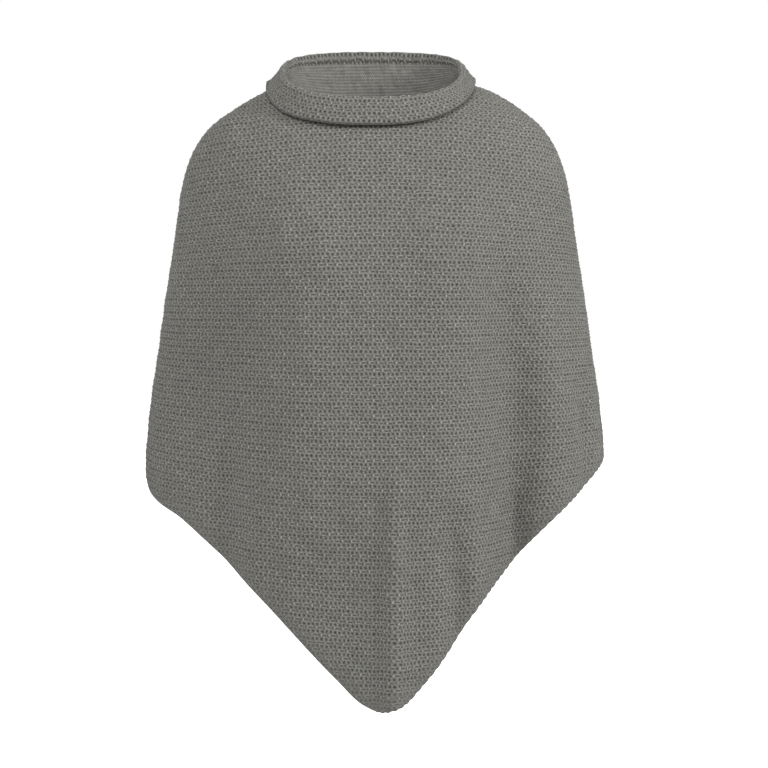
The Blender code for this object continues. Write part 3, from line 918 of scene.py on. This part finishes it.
def knit_material(knit):
    """Grey heathered knit, finer on its reverse. Its holes and grooves get painted shade, its raised
    yarns a painted highlight.
    """
    material = bpy.data.materials.new("grey_knit_detailed")
    material.use_nodes = True
    tree = material.node_tree
    shader = tree.nodes["Principled BSDF"]
    w = Wires(tree)
    cut = w.node("ShaderNodeUVMap", uv_map="cut").outputs["UV"]
    place = w.node("ShaderNodeTexCoord").outputs["Object"]
    reverse, near_hem, hole_line = (
        w.node("ShaderNodeAttribute", attribute_name=name).outputs["Fac"]
        for name in ("reverse", "near_hem", "hole_line")
    )
    yarn, raised_highlight, hole_shade = ((*colour, 1.0) for colour in (knit.body, knit.light, knit.painted_shade))

    def group(source, **values):
        node = w.node("ShaderNodeGroup", node_tree=source)
        for name, value in values.items():
            w.join(value, node.inputs[name])
        return node.outputs

    right = group(tuck_stitch_group(), Cut=cut, Stitch=knit.stitch, Row=knit.row)
    wrong = group(plain_back_group(), Cut=cut, Stitch=knit.stitch, Row=knit.row)
    heather = group(heather_group(), Place=place, Cut=cut)
    # near the hem the painted shade in the holes and the painted highlight on the yarns are weaker
    clear = w.minus(1.0, w.times(near_hem, 0.55))
    # painted highlight: the raised yarns lightened towards the painted highlight grey
    body = w.mix(w.times(right["Yarns"], w.times(clear, 0.75)), yarn, raised_highlight)
    # painted shade: the holes darkened towards the painted shade grey
    face = w.mix(w.times(right["Holes"], w.times(clear, 0.85)), body, hole_shade)
    plain = w.mix(0.35, yarn, raised_highlight)
    # painted shade: the reverse's grooves darkened towards the painted shade grey
    back = w.mix(w.times(wrong["Grooves"], 0.28), plain, hole_shade)
    spaced = w.math("COSINE", w.times(w.separate(cut)[0], 2 * np.pi / knit.stitch))
    # painted shade: a line of holes round the inside of the collar, dark where shade falls into them
    hole_line_shade = w.times(hole_line, w.plus(0.55, w.times(spaced, 0.45)))
    colour = w.mix(hole_line_shade, w.mix(reverse, face, back), hole_shade)
    uneven = w.plus(w.times(heather["Fleck"], 0.9), w.times(heather["Drift"], 0.22))
    bright = w.plus(1.0, uneven)
    w.join(w.vector("SCALE", colour, bright), shader.inputs["Base Color"])
    w.join(w.plus(0.86, w.times(heather["Fleck"], 0.15)), shader.inputs["Roughness"])
    on_face = w.times(right["Height"], w.minus(1.0, reverse))
    height = w.plus(on_face, w.times(w.times(wrong["Height"], 0.5), reverse))
    bump = w.node("ShaderNodeBump")
    bump.inputs["Strength"].default_value = 0.9
    bump.inputs["Distance"].default_value = 0.0009
    w.join(height, bump.inputs["Height"])
    w.join(bump.outputs["Normal"], shader.inputs["Normal"])
    for name, amount in (("Specular IOR Level", 0.15), ("Sheen Weight", 0.12), ("Sheen Roughness", 0.6)):
        shader.inputs[name].default_value = amount
    shader.inputs["Sheen Tint"].default_value = (0.85, 0.85, 0.80, 1.0)
    return material


def cloth_material(knit):
    return bpy.data.materials.get("grey_knit_detailed") or knit_material(knit)


# ---------------------------------------------------------------- what a user may change
class PonchoKnit(bpy.types.PropertyGroup):
    stitch: FloatProperty(
        name="Stitch width",
        description="Width of one stitch",
        default=0.0052, min=0.003, max=0.01, unit="LENGTH", precision=4,
    )
    row: FloatProperty(
        name="Row height",
        description="Height of one row; holes come every second row",
        default=0.00435, min=0.002, max=0.01, unit="LENGTH", precision=4,
    )
    uneven: FloatProperty(
        name="Unevenness",
        description="How far the cloth wanders from its smooth form",
        default=0.0013, min=0.0, max=0.004, unit="LENGTH", precision=4,
    )
    relief: FloatProperty(
        name="Relief",
        description="How far yarns stand out and holes sink in",
        default=0.0008, min=0.0, max=0.002, unit="LENGTH", precision=4,
    )
    body: FloatVectorProperty(
        name="Yarn",
        description="Middle grey of the yarn",
        default=(0.137, 0.1345, 0.1225), min=0.0, max=1.0, subtype="COLOR",
    )
    # painted highlight: the lighter grey painted on raised yarns, where light catches them
    light: FloatVectorProperty(
        name="Raised yarn",
        description="Grey of yarns that stand out",
        default=(0.340, 0.336, 0.314), min=0.0, max=1.0, subtype="COLOR",
    )
    # painted shade: the dark grey painted into the holes, the reverse's grooves and the line of holes,
    # where shade falls into them
    painted_shade: FloatVectorProperty(
        name="Holes",
        description="Grey of the holes between yarns",
        default=(0.020, 0.0195, 0.016), min=0.0, max=1.0, subtype="COLOR",
    )


class PonchoStage(bpy.types.PropertyGroup):
    distance: FloatProperty(
        name="Camera distance",
        description="From the camera to the garment's middle",
        default=4.0, min=1.0, max=20.0, unit="LENGTH",
    )
    elevation: FloatProperty(
        name="Camera elevation",
        description="How far the camera looks down",
        default=np.radians(4.0), subtype="ANGLE",
    )
    field: FloatProperty(
        name="Field",
        description="Width of the view at the garment",
        default=0.9216, min=0.2, max=5.0, unit="LENGTH",
    )
    key: FloatProperty(
        name="Key light",
        description="Power of the light at upper right",
        default=76.0, min=0.0, subtype="POWER",
    )
    fill: FloatProperty(
        name="Fill light",
        description="Power of the light at the left",
        default=23.0, min=0.0, subtype="POWER",
    )
    top: FloatProperty(
        name="Top light",
        description="Power of the light high in front, which reaches into the collar",
        default=60.0, min=0.0, subtype="POWER",
    )
    surround: FloatProperty(
        name="Surround",
        description="Strength of the white surround",
        default=0.487, min=0.0,
    )


class PONCHO_OT_front_panel(bpy.types.Operator):
    """Adds the front panel, neckline to pointed hem"""

    bl_idname = "poncho.front_panel"
    bl_label = "Front Panel"

    def execute(self, context):
        knit = context.scene.poncho_knit
        piece, flat, area = build_panel("front_knit", "front", knit)
        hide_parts("front_panel")
        return {"FINISHED"}


class PONCHO_OT_back_panel(bpy.types.Operator):
    """Adds the back panel, neckline to pointed hem"""

    bl_idname = "poncho.back_panel"
    bl_label = "Back Panel"

    def execute(self, context):
        knit = context.scene.poncho_knit
        piece, flat, area = build_panel("back_knit", "back", knit)
        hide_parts("back_panel")
        return {"FINISHED"}


class PONCHO_OT_collar(bpy.types.Operator):
    """Adds the turned-down roll collar"""

    bl_idname = "poncho.collar"
    bl_label = "Roll Collar"

    def execute(self, context):
        knit = context.scene.poncho_knit
        piece, flat = build_collar("collar_knit", knit)
        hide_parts("roll_collar")
        return {"FINISHED"}


AIM_RIGHT, AIM_DOWN = 0.011, 0.015  # from the garment's middle to the middle of the view
NECK = (0.0, 0.05, 0.03)  # what the top light points at
LIGHTS = (  # name, place, and size across and up
    ("key", (2.8, -1.6, 1.1), (0.9, 1.3)),
    ("fill", (-3.0, -1.3, 0.2), (1.2, 2.0)),
    ("top", (-0.1, -2.5, 2.2), (1.2, 1.0)),
)


def area_light(name, place, aim, size, power):
    light = bpy.data.lights.new(name, "AREA")
    light.shape, light.size, light.size_y, light.energy = "RECTANGLE", size[0], size[1], power
    lamp = bpy.data.objects.new(name, light)
    lamp.location = place
    lamp.rotation_euler = (Vector(aim) - Vector(place)).to_track_quat("-Z", "Y").to_euler()
    bpy.context.scene.collection.objects.link(lamp)


def floor_mesh():
    """A wide round floor: one ring of points far out, below the garment."""
    turn = np.linspace(0, 2 * np.pi, 64, endpoint=False)
    round_edge = FLOOR_REACH * np.cos(turn), FLOOR_REACH * np.sin(turn), np.full(turn.shape, FLOOR_Z)
    mesh = bpy.data.meshes.new("floor")
    mesh.from_pydata(np.stack(round_edge, axis=1).tolist(), [], [list(range(len(turn)))])
    return mesh


class PONCHO_OT_stage(bpy.types.Operator):
    """Adds the pale floor, the white surround, the soft lights and the camera"""

    bl_idname = "poncho.stage"
    bl_label = "Stage"

    def execute(self, context):
        scene, settings = context.scene, context.scene.poncho_stage
        floor = bpy.data.objects.new("floor", floor_mesh())
        scene.collection.objects.link(floor)
        paper = bpy.data.materials.new("white_paper")
        paper.use_nodes = True
        shader = paper.node_tree.nodes["Principled BSDF"]
        shader.inputs["Base Color"].default_value = (0.95, 0.95, 0.95, 1.0)
        shader.inputs["Emission Color"].default_value = (1.0, 1.0, 1.0, 1.0)
        w = Wires(paper.node_tree)
        seen = w.node("ShaderNodeLightPath").outputs["Is Camera Ray"]
        w.join(seen, shader.inputs["Emission Strength"])
        shader.inputs["Roughness"].default_value = 0.9
        floor.data.materials.append(paper)
        world = bpy.data.worlds.new("surround")
        world.use_nodes = True
        w = Wires(world.node_tree)
        background = world.node_tree.nodes["Background"]
        background.inputs["Color"].default_value = (1, 1, 1, 1)
        seen = w.node("ShaderNodeLightPath").outputs["Is Camera Ray"]
        w.join(w.math("MAXIMUM", seen, settings.surround), background.inputs["Strength"])
        scene.world = world
        low, high = CAD_BOX
        aim = ((low.x + high.x) / 2 + AIM_RIGHT, 0.0, (low.z + high.z) / 2 - AIM_DOWN)
        for name, place, size in LIGHTS:
            area_light(name, place, NECK if name == "top" else aim, size, getattr(settings, name))
        lens = bpy.data.cameras.new("camera")
        lens.sensor_width = 36.0
        lens.lens = lens.sensor_width * settings.distance / settings.field
        camera = bpy.data.objects.new("camera", lens)
        lean = settings.elevation
        back = Vector((0.0, -np.cos(lean), np.sin(lean)))
        camera.location = Vector(aim) + back * settings.distance
        camera.rotation_euler = (-back).to_track_quat("-Z", "Y").to_euler()
        scene.collection.objects.link(camera)
        scene.camera = camera
        scene.view_settings.view_transform = "Standard"
        return {"FINISHED"}


class PONCHO_PT_sidebar(bpy.types.Panel):
    """Lists the poncho's pieces and sizes"""

    bl_idname = "PONCHO_PT_sidebar"
    bl_label = "Knitted Poncho"
    bl_space_type = "VIEW_3D"
    bl_region_type = "UI"
    bl_category = "Poncho"

    def draw(self, context):
        for settings in (context.scene.poncho_knit, context.scene.poncho_stage):
            for name in settings.__annotations__:
                self.layout.prop(settings, name)
        for step in STEPS:
            self.layout.operator(step.bl_idname)


STEPS = (PONCHO_OT_stage, PONCHO_OT_front_panel, PONCHO_OT_back_panel, PONCHO_OT_collar)
CLASSES = (PonchoKnit, PonchoStage, *STEPS, PONCHO_PT_sidebar)


def register():
    for cls in CLASSES:
        bpy.utils.register_class(cls)
    bpy.types.Scene.poncho_knit = PointerProperty(type=PonchoKnit)
    bpy.types.Scene.poncho_stage = PointerProperty(type=PonchoStage)


def unregister():
    del bpy.types.Scene.poncho_stage
    del bpy.types.Scene.poncho_knit
    for cls in reversed(CLASSES):
        bpy.utils.unregister_class(cls)


def main():
    register()
    for step in STEPS:
        group, name = step.bl_idname.split(".")
        getattr(getattr(bpy.ops, group), name)()


if __name__ == "__main__":
    main()
